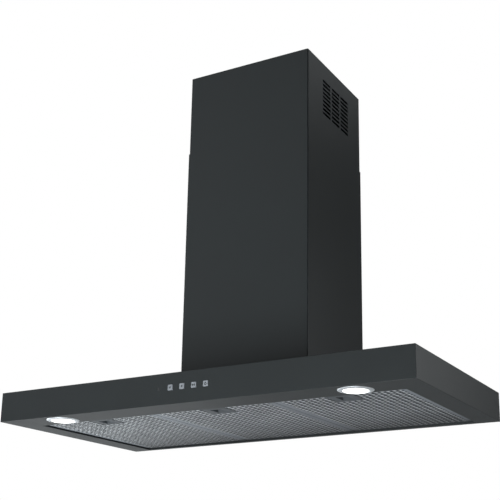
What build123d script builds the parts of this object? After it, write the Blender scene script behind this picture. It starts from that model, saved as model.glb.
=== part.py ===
"""Wall-hung chimney range hood, one metre wide, as an assembly of separate pieces.

Millimetres. The wall is the plane Y = 0, the room is towards -Y, +Z is up.
The origin lies on the wall, at mid width, level with the underside of the canopy.
"""

import os
from math import asin, cos, degrees, radians, sin

from build123d import *

# ---------------------------------------------------------------- driving sizes

sheet = 1.0                     # painted steel sheet
fold_radius = 0.8               # outside radius of the canopy's folds
cover_bend = 3.0                # outside radius of the chimney covers' front corners

canopy_width = 1000.0
canopy_depth = 505.0
canopy_height = 66.0

side_flange = 52.0              # underside rim left and right of the filters
front_flange = 81.5             # underside rim in front of the filters
rear_flange = 11.0
lip_height = 4.5                # rim turned up around the filter opening

chimney_width = 331.0
chimney_depth = 290.0
seam_height = 671.0             # top of the lower chimney cover
top_height = 877.0              # top of the upper chimney cover
upper_length = 560.0            # full length of the upper cover
upper_inset = 1.4               # upper cover stands inside the lower by this
upper_rear_gap = 1.6            # its rear edges stay this far off the wall
wall_return = 12.0              # rear edges of the covers turned inwards

filter_count = 3
filter_width = 295.0
filter_pitch = 297.5
filter_gap_front = 3.0
filter_gap_rear = 4.0
filter_base = 3.5               # filter face stands this far above the underside
filter_thickness = 9.0
filter_sheet = 0.8
filter_flange = 13.0            # visible width of the filter frame

lamp_x = 358.0
lamp_y = -460.0
lamp_radius = 36.0              # outside of the bezel
lamp_hole_radius = 30.2

button_size = 12.0
button_pitch = 28.7
button_first_x = -41.0
button_count = 4
button_z = 35.0
button_proud = 1.2
button_gap = 0.4                # around each cap in the panel
button_travel = 2.0
indicator_x = -70.0
indicator_z = 34.0

slot_rows = 9
slot_columns = 3
slot_length = 42.0
slot_height = 6.6
slot_row_pitch = 10.7
slot_column_pitch = 49.0
slot_centre_y = -140.0
slot_centre_z = 788.0

duct_radius = 75.0              # collar outside, for a 150 mm duct
collar_wall = 1.5
fan_y = -105.0                  # fan axis, parallel to X
fan_z = 172.0
volute_start = 72.0             # casing radius at the cut-off
volute_end = 102.0              # casing radius where the throat begins
throat_offset = 20.0            # cut-off lies this far in front of the axis
casing_half = 55.0              # half width of the fan casing
casing_wall = 2.0
impeller_radius = 64.0
impeller_half = 46.0
motor_radius = 38.0
shaft_radius = 4.0

box_half = 130.0                # blower box, half width
box_front = -258.0
box_rear = -14.0
box_top = 325.0

screw_radius = 2.0
screw_clearance = 0.1
screw_head_radius = 3.8
screw_head_height = 2.2
screw_length = 8.0
screw_recess_gap = 0.3          # around and above a sunk head

# ------------------------------------------------------------------ derived sizes

half_width = canopy_width / 2
front_y = -canopy_depth
opening_half = half_width - side_flange
opening_front = front_y + front_flange
opening_rear = -rear_flange
filter_front = opening_front + filter_gap_front
filter_rear = opening_rear - filter_gap_rear
filter_top = filter_base + filter_thickness
filter_inner_base = filter_base + filter_sheet
filter_inner_top = filter_top - filter_sheet
filter_centres = [(i - (filter_count - 1) / 2) * filter_pitch for i in range(filter_count)]
filter_names = ["left", "middle", "right"]

cover_half = chimney_width / 2
upper_half = cover_half - upper_inset
upper_front = -chimney_depth + upper_inset
upper_rear = -upper_rear_gap
upper_bottom = top_height - upper_length

throat_front = fan_y - volute_end
throat_rear = fan_y - throat_offset
collar_y = (throat_front + throat_rear) / 2
screw_hole = screw_radius + screw_clearance

os.makedirs("parts", exist_ok=True)


def save(piece, node):
    """Label the finished piece and write it as one STEP file."""
    piece.part.label = node
    export_step(piece.part, f"parts/{node}.step")


def block(x, y, z, mode=Mode.ADD):
    """A box between two limits on each axis, in the part being built."""
    middle = ((x[0] + x[1]) / 2, (y[0] + y[1]) / 2, (z[0] + z[1]) / 2)
    with Locations(middle):
        Box(x[1] - x[0], y[1] - y[0], z[1] - z[0], mode=mode)


def both_sides(x):
    """The same X limits on the right and, mirrored, on the left."""
    return [x, (-x[1], -x[0])]


def upright_cylinder(x, y, z, radius, mode=Mode.ADD):
    """A cylinder along Z between two heights."""
    with Locations((x, y, (z[0] + z[1]) / 2)):
        Cylinder(radius, z[1] - z[0], mode=mode)


def cross_cylinder(x, y, z, radius, mode=Mode.ADD):
    """A cylinder along X between two limits."""
    with Locations(Location(((x[0] + x[1]) / 2, y, z), (0, 90, 0))):
        Cylinder(radius, x[1] - x[0], mode=mode)


def depth_cylinder(x, y, z, radius, mode=Mode.ADD):
    """A cylinder along Y between two limits."""
    with Locations(Location((x, (y[0] + y[1]) / 2, z), (90, 0, 0))):
        Cylinder(radius, y[1] - y[0], mode=mode)


# ---------------------------------------------------------------------- canopy

air_half = 120.0                # air opening in the canopy roof, below the blower
air_front = -240.0
air_rear = -30.0
foot_width = 12.0               # feet of the blower box
box_screw_x = box_half + foot_width / 2
box_screw_ys = [-60.0, -210.0]
cover_foot = 14.0               # inward feet of the lower chimney cover
cover_foot_y = (-270.0, -30.0)
cover_screw_x = cover_half - sheet - cover_foot / 2
cover_screw_ys = [-60.0, -240.0]
box_screw_places = [(s * box_screw_x, y) for s in (-1, 1) for y in box_screw_ys]
cover_screw_places = [(s * cover_screw_x, y) for s in (-1, 1) for y in cover_screw_ys]
button_xs = [button_first_x + i * button_pitch for i in range(button_count)]
button_hole = button_size + 2 * button_gap
indicator_radius = 2.25
indicator_hole = 2.3

# folded shell: roof, front, two sides and the flat rim around the filters
with BuildPart() as canopy_shell:
    block((-half_width, half_width), (front_y, 0), (0, canopy_height))
    folds = canopy_shell.edges().filter_by(lambda edge: edge.center().Y < -sheet)
    fillet(folds, fold_radius)
    inside_x = (-half_width + sheet, half_width - sheet)
    block(inside_x, (front_y + sheet, sheet), (sheet, canopy_height - sheet), Mode.SUBTRACT)
    block(
        (-opening_half, opening_half),
        (opening_front, opening_rear),
        (-sheet, 2 * sheet),
        Mode.SUBTRACT,
    )
    # the rim's inner edge is turned up into a stiffening lip
    with BuildSketch(Plane.XY.offset(sheet)):
        with Locations((0, (opening_front + opening_rear) / 2)):
            Rectangle(2 * opening_half + 2 * sheet, opening_rear - opening_front + 2 * sheet)
            Rectangle(2 * opening_half, opening_rear - opening_front, mode=Mode.SUBTRACT)
    extrude(amount=lip_height - sheet)
    block(
        (-air_half, air_half),
        (air_front, air_rear),
        (canopy_height - 2 * sheet, canopy_height + sheet),
        Mode.SUBTRACT,
    )
    for place_x, place_y in box_screw_places + cover_screw_places:
        roof = (canopy_height - 2 * sheet, canopy_height + sheet)
        upright_cylinder(place_x, place_y, roof, screw_hole, Mode.SUBTRACT)
    for side in (-1, 1):
        upright_cylinder(side * lamp_x, lamp_y, (-sheet, 2 * sheet), lamp_hole_radius, Mode.SUBTRACT)
    for button_x in button_xs:
        block(
            (button_x - button_hole / 2, button_x + button_hole / 2),
            (front_y - sheet, front_y + 2 * sheet),
            (button_z - button_hole / 2, button_z + button_hole / 2),
            Mode.SUBTRACT,
        )
    panel_y = (front_y - sheet, front_y + 2 * sheet)
    depth_cylinder(indicator_x, panel_y, indicator_z, indicator_hole, Mode.SUBTRACT)
save(canopy_shell, "canopy_shell")

hanging_hole_radius = 4.0
hanging_hole_x = 200.0
hanging_hole_z = 45.0
fixing_hole_radius = 2.5
fixing_hole_x = 230.0
fixing_hole_z = 18.0

# rear wall, welded in between the sides, with the holes that hang the hood
with BuildPart() as back_panel:
    block(inside_x, (-sheet, 0), (sheet, canopy_height - sheet))
    for side in (-1, 1):
        through = (-2 * sheet, sheet)
        depth_cylinder(
            side * hanging_hole_x, through, hanging_hole_z, hanging_hole_radius, Mode.SUBTRACT
        )
        depth_cylinder(
            side * fixing_hole_x, through, fixing_hole_z, fixing_hole_radius, Mode.SUBTRACT
        )
save(back_panel, "back_panel")

# --------------------------------------------------------------- chimney covers


def bent_cover(half, y, z):
    """Front and two sides of a chimney cover, bent from one sheet and open at the rear."""
    middle_x = half - sheet / 2
    middle_y = y[0] + sheet / 2
    corners = [(-middle_x, y[1]), (-middle_x, middle_y), (middle_x, middle_y), (middle_x, y[1])]
    with BuildPart() as cover:
        with BuildSketch(Plane.XY.offset(z[0])):
            with BuildLine():
                FilletPolyline(*corners, radius=cover_bend - sheet / 2)
            trace(line_width=sheet)
        extrude(amount=z[1] - z[0])
    return cover


lower_sheet = bent_cover(cover_half, (-chimney_depth, 0), (canopy_height, seam_height))

# lower cover: front and two sides, feet on the canopy, rear edges turned in
with BuildPart() as lower_chimney_cover:
    add(lower_sheet.part)
    inner = cover_half - sheet
    for limits in both_sides((inner - wall_return, inner)):
        block(limits, (-sheet, 0), (canopy_height, seam_height))
    foot_z = (canopy_height, canopy_height + sheet)
    for limits in both_sides((inner - cover_foot, inner)):
        block(limits, cover_foot_y, foot_z)
    for place_x, place_y in cover_screw_places:
        through = (canopy_height - sheet, canopy_height + 2 * sheet)
        upright_cylinder(place_x, place_y, through, screw_hole, Mode.SUBTRACT)
save(lower_chimney_cover, "lower_chimney_cover")

tab_z = top_height - 9.0        # tabs near the top rear corners, resting on the bracket
return_top = top_height - 17.0  # the turned-in rear edges stop below the bracket's ears
tab_length = 20.0
tab_y = (-40.0, -10.0)
tab_screw = (153.0, -26.0)

upper_sheet = bent_cover(upper_half, (upper_front, upper_rear), (upper_bottom, top_height))

# upper cover: telescopes inside the lower one, with air slots on both sides
with BuildPart() as upper_chimney_cover:
    add(upper_sheet.part)
    inner = upper_half - sheet
    for limits in both_sides((inner - wall_return, inner)):
        block(limits, (upper_rear - sheet, upper_rear), (upper_bottom, return_top))
    for limits in both_sides((inner - tab_length, inner)):
        block(limits, tab_y, (tab_z, tab_z + sheet))
    for side in (-1, 1):
        through = (tab_z - sheet, tab_z + 2 * sheet)
        upright_cylinder(side * tab_screw[0], tab_screw[1], through, screw_hole, Mode.SUBTRACT)
    with BuildSketch(Plane.YZ):
        with Locations((slot_centre_y, slot_centre_z)):
            with GridLocations(slot_column_pitch, slot_row_pitch, slot_columns, slot_rows):
                Rectangle(slot_length, slot_height)
    extrude(amount=cover_half, both=True, mode=Mode.SUBTRACT)
save(upper_chimney_cover, "upper_chimney_cover")

bracket_sheet = 1.5
bracket_half = 162.0
bracket_z = (838.0, tab_z)
bracket_hole_x = 100.0
bracket_hole_z = 853.0
bracket_hole_radius = 3.0
ear_length = 42.0
tongue_half = 40.0
tongue_front = -150.0
tongue_screw = (25.0, -120.0)
deflector_top = 840.0           # roof of the air deflector, under the tongue

# bracket: strip on the wall near the ceiling, ears under the cover, tongue on the deflector
with BuildPart() as ceiling_bracket:
    block((-bracket_half, bracket_half), (-bracket_sheet, 0), bracket_z)
    for limits in both_sides((inner - tab_length, bracket_half)):
        block(limits, (-ear_length, 0), (tab_z - bracket_sheet, tab_z))
    block(
        (-tongue_half, tongue_half),
        (tongue_front, 0),
        (deflector_top, deflector_top + bracket_sheet),
    )
    for side in (-1, 1):
        wall_through = (-2 * bracket_sheet, bracket_sheet)
        depth_cylinder(
            side * bracket_hole_x,
            wall_through,
            bracket_hole_z,
            bracket_hole_radius,
            Mode.SUBTRACT,
        )
        ear_through = (tab_z - 2 * bracket_sheet, tab_z + sheet)
        upright_cylinder(
            side * tab_screw[0], tab_screw[1], ear_through, screw_hole, Mode.SUBTRACT
        )
        tongue_through = (deflector_top - sheet, deflector_top + 2 * bracket_sheet)
        upright_cylinder(
            side * tongue_screw[0], tongue_screw[1], tongue_through, screw_hole, Mode.SUBTRACT
        )
save(ceiling_bracket, "ceiling_bracket")

deflector_half = 162.6          # its open ends almost touch the cover behind the slots
deflector_depth = 158.0
deflector_base = 732.0
deflector_wall = 2.0
spigot_height = 30.0
spigot_plate_half = 80.0

# air deflector: takes the duct from below and blows out behind the slots on both sides
with BuildPart() as air_deflector:
    box_y = (slot_centre_y - deflector_depth / 2, slot_centre_y + deflector_depth / 2)
    block((-deflector_half, deflector_half), box_y, (deflector_base, deflector_top))
    block(
        (-deflector_half - sheet, deflector_half + sheet),
        (box_y[0] + deflector_wall, box_y[1] - deflector_wall),
        (deflector_base + deflector_wall, deflector_top - deflector_wall),
        Mode.SUBTRACT,
    )
    base = (deflector_base - sheet, deflector_base + 2 * deflector_wall)
    upright_cylinder(0, slot_centre_y, base, duct_radius - deflector_wall, Mode.SUBTRACT)
    for side in (-1, 1):
        roof = (deflector_top - 2 * deflector_wall, deflector_top + sheet)
        upright_cylinder(
            side * tongue_screw[0], tongue_screw[1], roof, screw_hole, Mode.SUBTRACT
        )
save(air_deflector, "air_deflector")

# round spigot below the deflector, with a square plate against its base
with BuildPart() as deflector_spigot:
    plate_top = deflector_base
    plate_base = deflector_base - deflector_wall
    block((-spigot_plate_half, spigot_plate_half), box_y, (plate_base, plate_top))
    upright_cylinder(0, slot_centre_y, (plate_top - spigot_height, plate_base), duct_radius)
    spigot_bore = (plate_top - spigot_height - sheet, plate_top + sheet)
    upright_cylinder(0, slot_centre_y, spigot_bore, duct_radius - deflector_wall, Mode.SUBTRACT)
save(deflector_spigot, "deflector_spigot")

# ------------------------------------------------------------------- fasteners


def screws(places, head_z, shank_length, upside_down=False):
    """Pan-head screws along Z; head_z is the face that the heads bear on."""
    with BuildPart() as group:
        turn = -1 if upside_down else 1
        top_z = head_z + turn * screw_head_height
        for place_x, place_y in places:
            head = sorted((head_z, top_z))
            shank = sorted((head_z, head_z - turn * shank_length))
            upright_cylinder(place_x, place_y, head, screw_head_radius)
            upright_cylinder(place_x, place_y, shank, screw_radius)
        rims = group.edges().filter_by(GeomType.CIRCLE)
        rims = rims.filter_by_position(Axis.Z, top_z, top_z)
        fillet(rims, screw_head_height / 3)
    return group


box_screws = screws(box_screw_places, canopy_height + sheet, screw_length)
save(box_screws, "box_screws")

roof_inside = canopy_height - sheet
chimney_screws = screws(cover_screw_places, roof_inside, screw_length, upside_down=True)
save(chimney_screws, "chimney_screws")

tab_screw_places = [(side * tab_screw[0], tab_screw[1]) for side in (-1, 1)]
cover_screws = screws(tab_screw_places, tab_z + sheet, screw_length)
deflector_screw_places = [(side * tongue_screw[0], tongue_screw[1]) for side in (-1, 1)]
deflector_screws = screws(deflector_screw_places, deflector_top + bracket_sheet, screw_length)
with BuildPart() as bracket_screws:
    add(cover_screws.part)
    add(deflector_screws.part)
save(bracket_screws, "bracket_screws")

# ---------------------------------------------------------------------- blower

rim_width = 10.0                # flange of the fan casing below the box roof
rim_thickness = 4.0
collar_plate_half_x = 80.0
collar_plate_half_y = 78.0
collar_plate = 2.0
collar_top = 365.0
rim_screw_x = casing_half + rim_width / 2
rim_screw_inset = 4.0           # from the throat's front and rear walls
rim_screw_y = (throat_rear - throat_front) / 2 - rim_screw_inset
rim_screw_length = 6.8
rim_screw_places = [
    (sx * rim_screw_x, collar_y + sy * rim_screw_y) for sx in (-1, 1) for sy in (-1, 1)
]
throat_x = (-casing_half + casing_wall, casing_half - casing_wall)
throat_y = (throat_front, throat_rear)

# sheet box that carries the fan, on top of the canopy, open below
with BuildPart() as blower_box:
    block((-box_half, box_half), (box_front, box_rear), (canopy_height, box_top))
    block(
        (-box_half + sheet, box_half - sheet),
        (box_front + sheet, box_rear - sheet),
        (canopy_height - sheet, box_top - sheet),
        Mode.SUBTRACT,
    )
    for limits in both_sides((box_half, box_half + foot_width)):
        block(limits, (box_front, box_rear), (canopy_height, canopy_height + sheet))
    roof = (box_top - 2 * sheet, box_top + sheet)
    block(throat_x, throat_y, roof, Mode.SUBTRACT)
    for place_x, place_y in rim_screw_places:
        upright_cylinder(place_x, place_y, roof, screw_hole, Mode.SUBTRACT)
    for place_x, place_y in box_screw_places:
        foot = (canopy_height - sheet, canopy_height + 2 * sheet)
        upright_cylinder(place_x, place_y, foot, screw_hole, Mode.SUBTRACT)
save(blower_box, "blower_box")

volute_points = 13
volute_turn = 270.0             # the spiral ends level with the axis, in front
inlet_radius = 50.0


def volute_outline(extra):
    """Closed outline of the spiral casing and its throat, grown outwards by extra."""
    first = -degrees(asin((throat_offset - extra) / (volute_start + extra)))
    points = []
    for i in range(volute_points):
        share = i / (volute_points - 1)
        angle = radians(first + share * (volute_turn - first))
        radius = volute_start + share * (volute_end - volute_start) + extra
        points.append((fan_y + radius * sin(angle), fan_z + radius * cos(angle)))
    throat_top = box_top - sheet
    with BuildLine() as outline:
        Spline(*points)
        Polyline(points[-1], (points[-1][0], throat_top), (points[0][0], throat_top), points[0])
    return outline.line


def casing_shell(side):
    """One half of the fan casing; side is -1 on the left, 1 on the right."""
    with BuildPart() as half:
        with BuildSketch(Plane.YZ):
            add(volute_outline(casing_wall))
            make_face()
        extrude(amount=side * casing_half)
        with BuildSketch(Plane.YZ):
            add(volute_outline(0))
            make_face()
        extrude(amount=side * (casing_half - casing_wall), mode=Mode.SUBTRACT)
        plate = sorted((side * (casing_half - 2 * casing_wall), side * (casing_half + casing_wall)))
        cross_cylinder(plate, fan_y, fan_z, inlet_radius, Mode.SUBTRACT)
        # flange that hangs the casing from the box roof
        rim_z = (box_top - sheet - rim_thickness, box_top - sheet)
        rim_x = sorted((0, side * (casing_half + rim_width)))
        rim_y = (throat_front - rim_width, throat_rear + rim_width)
        block(rim_x, rim_y, rim_z)
        half_throat = sorted((0, side * throat_x[1]))
        block(half_throat, throat_y, (rim_z[0] - sheet, rim_z[1] + sheet), Mode.SUBTRACT)
        for place_x, place_y in rim_screw_places:
            if place_x * side > 0:
                upright_cylinder(place_x, place_y, rim_z, screw_hole, Mode.SUBTRACT)
    return half


left_fan_casing = casing_shell(-1)
save(left_fan_casing, "left_fan_casing")
right_fan_casing = casing_shell(1)
save(right_fan_casing, "right_fan_casing")

hub_half = 1.5
boss_radius = 9.0
boss_end = 14.0
ring_width = 4.0
ring_length = 3.0
blade_count = 36
blade_length = 14.0
blade_thickness = 1.0
blade_turn = 35.0
fit_gap = 0.02

# fan wheel: a middle disc carries the blades, a ring closes each end
with BuildPart() as impeller:
    with BuildSketch(Plane.YZ.offset(-impeller_half)):
        with Locations((fan_y, fan_z)):
            with PolarLocations(impeller_radius - blade_length / 2, blade_count):
                Rectangle(blade_length, blade_thickness, rotation=blade_turn)
    extrude(amount=2 * impeller_half)
    cross_cylinder((-hub_half, hub_half), fan_y, fan_z, impeller_radius)
    cross_cylinder((-hub_half, boss_end), fan_y, fan_z, boss_radius)
    for end in (-impeller_half, impeller_half - ring_length):
        with BuildSketch(Plane.YZ.offset(end)):
            with Locations((fan_y, fan_z)):
                Circle(impeller_radius)
                Circle(impeller_radius - ring_width, mode=Mode.SUBTRACT)
        extrude(amount=ring_length)
    bore = shaft_radius + fit_gap
    cross_cylinder((-boss_end, 2 * boss_end), fan_y, fan_z, bore, Mode.SUBTRACT)
save(impeller, "impeller")

motor_x = (-92.0, -8.0)
motor_edge = 4.0
shaft_x = (-96.0, 20.0)
shaft_running_gap = 0.05
shaft_chamfer = 0.6

with BuildPart() as motor:
    cross_cylinder(motor_x, fan_y, fan_z, motor_radius)
    rims = motor.edges().filter_by(GeomType.CIRCLE)
    fillet(rims, motor_edge)
    whole = (shaft_x[0] - sheet, 0)
    cross_cylinder(whole, fan_y, fan_z, shaft_radius + shaft_running_gap, Mode.SUBTRACT)
save(motor, "motor")

with BuildPart() as motor_shaft:
    cross_cylinder(shaft_x, fan_y, fan_z, shaft_radius)
    chamfer(motor_shaft.edges().filter_by(GeomType.CIRCLE), shaft_chamfer)
save(motor_shaft, "motor_shaft")

nut_flats = 13.0
nut_thickness = 4.5
nut_x = (boss_end, boss_end + nut_thickness)

with BuildPart() as impeller_nut:
    with BuildSketch(Plane.YZ.offset(nut_x[0])):
        with Locations((fan_y, fan_z)):
            RegularPolygon(nut_flats / 2, 6, major_radius=False)
            Circle(shaft_radius + fit_gap, mode=Mode.SUBTRACT)
    extrude(amount=nut_x[1] - nut_x[0])
save(impeller_nut, "impeller_nut")

spider_thickness = 4.0
spider_outer = 62.0
spider_inner = 42.0
spider_arm = 8.0
spider_arms = 3

# three-armed bracket that holds the motor in the left inlet
with BuildPart() as motor_bracket:
    with BuildSketch(Plane.YZ.offset(-casing_half - spider_thickness)):
        with Locations((fan_y, fan_z)):
            Circle(spider_outer)
            Circle(inlet_radius, mode=Mode.SUBTRACT)
            Circle(spider_inner)
            with PolarLocations((inlet_radius + spider_inner) / 2, spider_arms):
                Rectangle(inlet_radius - spider_inner + spider_arm, spider_arm)
            Circle(motor_radius + shaft_running_gap, mode=Mode.SUBTRACT)
    extrude(amount=spider_thickness)
save(motor_bracket, "motor_bracket")

capacitor_depth = 16.0
capacitor_y = (-75.0, -38.0)
capacitor_z = (200.0, 227.0)
capacitor_edge = 3.0

# motor capacitor on the right wall of the blower box
with BuildPart() as capacitor:
    block((box_half - sheet - capacitor_depth, box_half - sheet), capacitor_y, capacitor_z)
    fillet(capacitor.edges().filter_by(Axis.X), capacitor_edge)
save(capacitor, "capacitor")

ledge_z = (335.4, 337.2)
ledge_width = 3.5
flap_z = 338.0                  # height of the flap pins
flap_pin_x = 5.0
flap_pin_radius = 1.2
flap_thickness = 1.2
flap_radius = 72.6
knuckle_radius = 2.4
knuckle_reach = 60.0            # half length of a flap's knuckle
pin_end_gap = 0.5               # the pins end this far inside the collar's outside

# outlet collar: square base on the box roof, round neck for the duct, ledge for the flaps
with BuildPart() as outlet_collar:
    plate_z = (box_top, box_top + collar_plate)
    plate_y = (collar_y - collar_plate_half_y, collar_y + collar_plate_half_y)
    block((-collar_plate_half_x, collar_plate_half_x), plate_y, plate_z)
    upright_cylinder(0, collar_y, (plate_z[1], collar_top), duct_radius)
    neck = duct_radius - collar_wall
    upright_cylinder(0, collar_y, (plate_z[1], collar_top + sheet), neck, Mode.SUBTRACT)
    block(throat_x, throat_y, (box_top - sheet, plate_z[1] + sheet), Mode.SUBTRACT)
    with BuildSketch(Plane.XY.offset(ledge_z[0])):
        with Locations((0, collar_y)):
            Circle(neck)
            Circle(neck - ledge_width, mode=Mode.SUBTRACT)
    extrude(amount=ledge_z[1] - ledge_z[0])
    for side in (-1, 1):
        pin_y = (collar_y - duct_radius + pin_end_gap, collar_y + duct_radius - pin_end_gap)
        depth_cylinder(side * flap_pin_x, pin_y, flap_z, flap_pin_radius, Mode.SUBTRACT)
    for place_x, place_y in rim_screw_places:
        through = (box_top - sheet, plate_z[1] + sheet)
        upright_cylinder(place_x, place_y, through, screw_hole, Mode.SUBTRACT)
        head_z = (plate_z[1], plate_z[1] + screw_head_height + screw_recess_gap)
        recess_radius = screw_head_radius + screw_recess_gap
        upright_cylinder(place_x, place_y, head_z, recess_radius, Mode.SUBTRACT)
save(outlet_collar, "outlet_collar")

collar_screws = screws(rim_screw_places, box_top + collar_plate, rim_screw_length)
save(collar_screws, "collar_screws")

with BuildPart() as damper_pins:
    for side in (-1, 1):
        depth_cylinder(side * flap_pin_x, pin_y, flap_z, flap_pin_radius)
save(damper_pins, "damper_pins")


def damper_flap(side):
    """Half-round flap that lies on the ledge and swings up about its pin."""
    with BuildPart() as flap:
        with BuildSketch(Plane.XY.offset(flap_z - flap_thickness / 2)):
            with Locations((0, collar_y)):
                Circle(flap_radius)
                with Locations((-side * duct_radius + side * flap_pin_x, 0)):
                    Rectangle(2 * duct_radius, 2 * duct_radius + 1, mode=Mode.SUBTRACT)
        extrude(amount=flap_thickness)
        knuckle_y = (collar_y - knuckle_reach, collar_y + knuckle_reach)
        depth_cylinder(side * flap_pin_x, knuckle_y, flap_z, knuckle_radius)
        pin_reach = (collar_y - duct_radius, collar_y + duct_radius)
        depth_cylinder(
            side * flap_pin_x, pin_reach, flap_z, flap_pin_radius + shaft_running_gap, Mode.SUBTRACT
        )
    return flap


left_damper_flap = damper_flap(-1)
save(left_damper_flap, "left_damper_flap")
right_damper_flap = damper_flap(1)
save(right_damper_flap, "right_damper_flap")

terminal_x = (-154.0, -box_half)
terminal_y = (-230.0, -170.0)
terminal_z = (250.0, 310.0)
terminal_wall = 2.0
terminal_edge = 3.0
gland_radius = 6.0
cable_bore = 4.0
gland_nut_radius = 9.0
gland_nut_edge = 2.5
gland_hexagon_radius = 10.5
gland_hexagon = 5.0             # height of the hexagon
gland_above = 14.0              # top of the gland above the box
gland_below = 8.0

# mains terminal box on the side of the blower box, with a gland for the supply cable
with BuildPart() as terminal_box:
    block(terminal_x, terminal_y, terminal_z)
    fillet(terminal_box.edges().filter_by(Axis.Y).group_by(Axis.X)[0], terminal_edge)
    block(
        (terminal_x[0] + terminal_wall, terminal_x[1] + sheet),
        (terminal_y[0] + terminal_wall, terminal_y[1] - terminal_wall),
        (terminal_z[0] + terminal_wall, terminal_z[1] - terminal_wall),
        Mode.SUBTRACT,
    )
    gland_x = (terminal_x[0] + terminal_x[1]) / 2
    gland_y = (terminal_y[0] + terminal_y[1]) / 2
    lid = (terminal_z[1] - 2 * terminal_wall, terminal_z[1] + sheet)
    upright_cylinder(gland_x, gland_y, lid, gland_radius, Mode.SUBTRACT)
save(terminal_box, "terminal_box")

with BuildPart() as cable_gland:
    gland_seat = terminal_z[1]
    thread_z = (gland_seat - gland_below, gland_seat)
    upright_cylinder(gland_x, gland_y, thread_z, gland_radius - fit_gap)
    with BuildSketch(Plane.XY.offset(gland_seat)):
        with Locations((gland_x, gland_y)):
            RegularPolygon(gland_hexagon_radius, 6)
    extrude(amount=gland_hexagon)
    nut_z = (gland_seat + gland_hexagon, gland_seat + gland_above)
    upright_cylinder(gland_x, gland_y, nut_z, gland_nut_radius)
    fillet(cable_gland.edges().group_by(Axis.Z)[-1], gland_nut_edge)
    whole = (gland_seat - gland_below - sheet, gland_seat + gland_above + sheet)
    upright_cylinder(gland_x, gland_y, whole, cable_bore, Mode.SUBTRACT)
save(cable_gland, "cable_gland")

# -------------------------------------------------------------------- controls

housing_x = (-85.0, 65.0)
housing_z = (20.0, 50.0)
housing_y = (front_y + sheet, -488.0)
housing_wall = 3.0
collar_size = button_size + 2.4 # collar that keeps a button in
collar_gap = 0.1
collar_depth = 1.0
guide_gap = 0.3
pocket_size = collar_size + 2 * guide_gap
pocket_end = -499.5
stem_size = 6.0
stem_hole = stem_size + 2 * guide_gap
guide_end = -497.0
board_y = (-488.0, -486.4)
switch_face = -490.0
free_play = 0.2                 # before a stem would reach its switch
stem_end = switch_face - button_travel - free_play
cap_depth = 2.0                 # cap behind the panel
cap_corner = 1.6
cap_edge = 0.3
indicator_proud = 0.3

# housing behind the front panel: guides the four buttons and the indicator
with BuildPart() as switch_housing:
    block(housing_x, housing_y, housing_z)
    for button_x in button_xs:
        pocket_x = (button_x - pocket_size / 2, button_x + pocket_size / 2)
        pocket_z = (button_z - pocket_size / 2, button_z + pocket_size / 2)
        block(pocket_x, (front_y, pocket_end), pocket_z, Mode.SUBTRACT)
        hole_x = (button_x - stem_hole / 2, button_x + stem_hole / 2)
        hole_z = (button_z - stem_hole / 2, button_z + stem_hole / 2)
        block(hole_x, (front_y, housing_y[1] + sheet), hole_z, Mode.SUBTRACT)
    rear_pocket_x = (housing_x[0] + housing_wall, housing_x[1] - housing_wall)
    rear_pocket_z = (housing_z[0] + housing_wall, housing_z[1] - housing_wall)
    block(rear_pocket_x, (guide_end, housing_y[1] + sheet), rear_pocket_z, Mode.SUBTRACT)
    depth_cylinder(indicator_x, (front_y, housing_y[1]), indicator_z, indicator_hole, Mode.SUBTRACT)
save(switch_housing, "switch_housing")

with BuildPart() as switch_board:
    block(housing_x, board_y, housing_z)
    for button_x in button_xs:
        switch_x = (button_x - stem_size / 2, button_x + stem_size / 2)
        switch_z = (button_z - stem_size / 2, button_z + stem_size / 2)
        block(switch_x, (switch_face, board_y[0]), switch_z)
save(switch_board, "switch_board")

with BuildPart() as indicator_lens:
    depth_cylinder(indicator_x, (front_y - indicator_proud, board_y[0]), indicator_z, indicator_radius)
save(indicator_lens, "indicator_lens")


def push_button(button_x):
    """Square cap through the panel, collar behind it and stem towards its switch."""
    with BuildPart() as button:
        cap_y = (front_y - button_proud, front_y + sheet + cap_depth)
        cap_x = (button_x - button_size / 2, button_x + button_size / 2)
        cap_z = (button_z - button_size / 2, button_z + button_size / 2)
        block(cap_x, cap_y, cap_z)
        fillet(button.edges().filter_by(Axis.Y), cap_corner)
        chamfer(button.faces().sort_by(Axis.Y)[0].edges(), cap_edge)
        collar_x = (button_x - collar_size / 2, button_x + collar_size / 2)
        collar_z = (button_z - collar_size / 2, button_z + collar_size / 2)
        collar_front = front_y + sheet + collar_gap
        block(collar_x, (collar_front, collar_front + collar_depth), collar_z)
        stem_x = (button_x - stem_size / 2, button_x + stem_size / 2)
        stem_z = (button_z - stem_size / 2, button_z + stem_size / 2)
        block(stem_x, (cap_y[1], stem_end), stem_z)
    return button


button_names = ["stop_button", "low_speed_button", "high_speed_button", "light_button"]
for button_x, node in zip(button_xs, button_names):
    push_button_piece = push_button(button_x)
    save(push_button_piece, node)

# --------------------------------------------------------------------- lamps

bezel_thickness = 2.4
bezel_rim = 0.4                 # upright edge of the ring against the panel
bezel_face = 29.5               # radius where the ring's slope ends
bezel_tube = 30.0
bezel_tube_top = 12.0
bezel_bore = 27.1
lens_radius = 27.0
lens_z = (-3.2, 1.6)
lens_edge = 0.9
lamp_can_top = 14.0
lamp_core_radius = 12.0
lamp_body_top = 22.0
fin_count = 10
fin_thickness = 1.6
fin_reach = 26.0


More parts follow.
